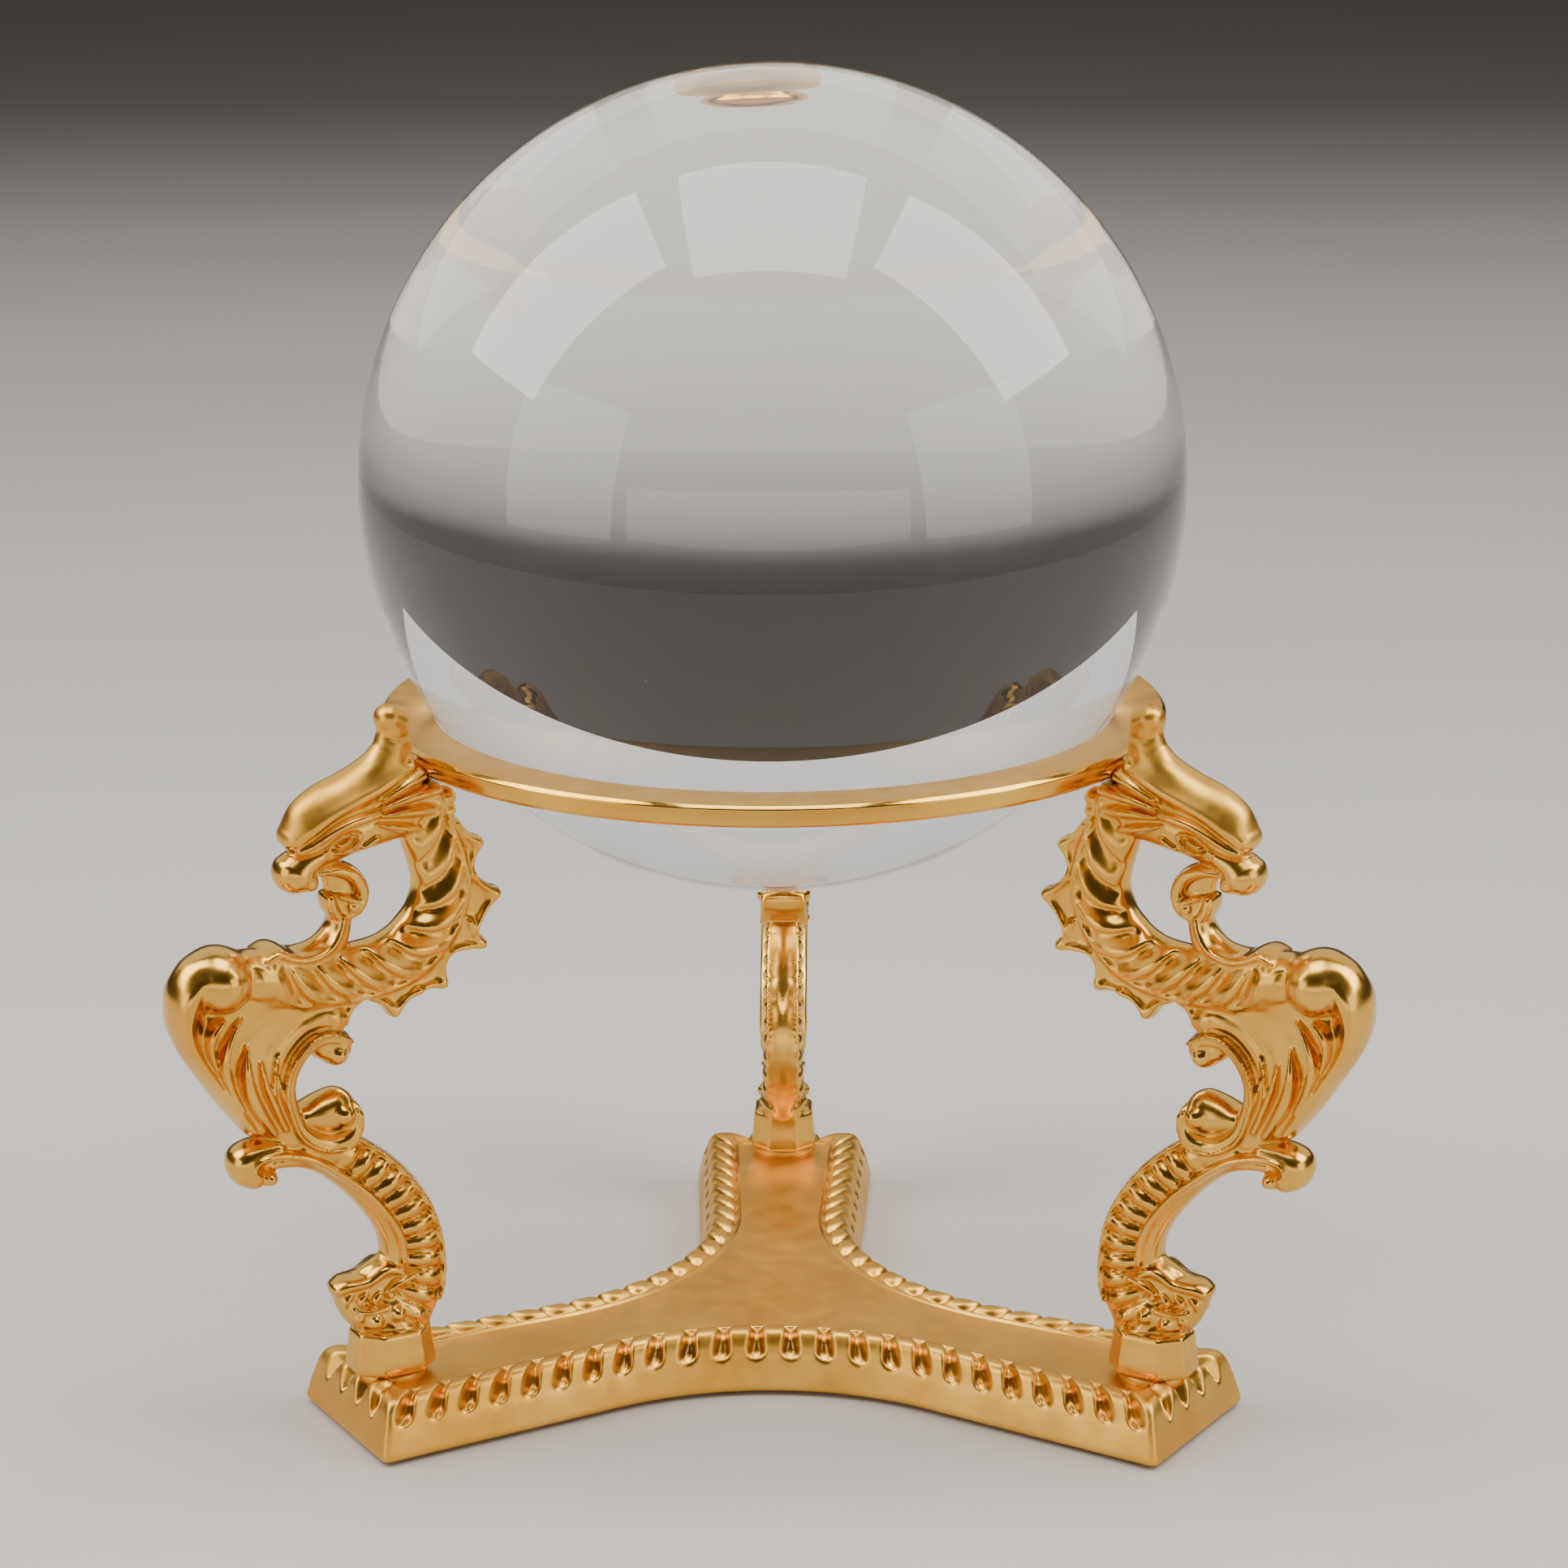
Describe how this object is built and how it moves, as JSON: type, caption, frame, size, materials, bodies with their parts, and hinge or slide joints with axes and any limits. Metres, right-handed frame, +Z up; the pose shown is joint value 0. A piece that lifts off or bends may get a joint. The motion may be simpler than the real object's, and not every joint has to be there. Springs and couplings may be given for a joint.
{
  "type": "crystal ball on dragon stand",
  "caption": "Clear glass ball resting in the ring of a gold-plated stand, with dragon legs on a three-armed base.",
  "frame": {"origin": "on the stand's upright axis, at the level of the surface that its rubber pads rest on", "axes": "+Z up through the ring and the ball; +Y towards the single leg at the back; +X to the right seen from the front"},
  "size_m": [0.1578, 0.143, 0.1781],
  "materials": {
    "clear_glass": "polished clear crystal glass",
    "gold_plate": "polished gold plate on cast metal, satin on the flat top faces",
    "steel": "zinc-plated steel",
    "black_rubber": "matt black rubber"
  },
  "bodies": {
    "stand": {"support_ring": "gold_plate", "base_plate": "gold_plate", "dragon_leg_1": "gold_plate", "dragon_leg_2": "gold_plate", "dragon_leg_3": "gold_plate", "leg_screw_1": "steel", "leg_screw_2": "steel", "leg_screw_3": "steel", "lock_washer_1": "steel", "lock_washer_2": "steel", "lock_washer_3": "steel", "ring_pin_1": "steel", "ring_pin_2": "steel", "ring_pin_3": "steel", "rubber_pad_1": "black_rubber", "rubber_pad_2": "black_rubber", "rubber_pad_3": "black_rubber"},
    "ball": {"crystal_ball": "clear_glass"}
  },
  "joints": [
    {"name": "ball_lift", "type": "slide", "parent": "stand", "child": "ball", "axis": [0, 0, 1], "range_m": [0, 0.12]}
  ]
}
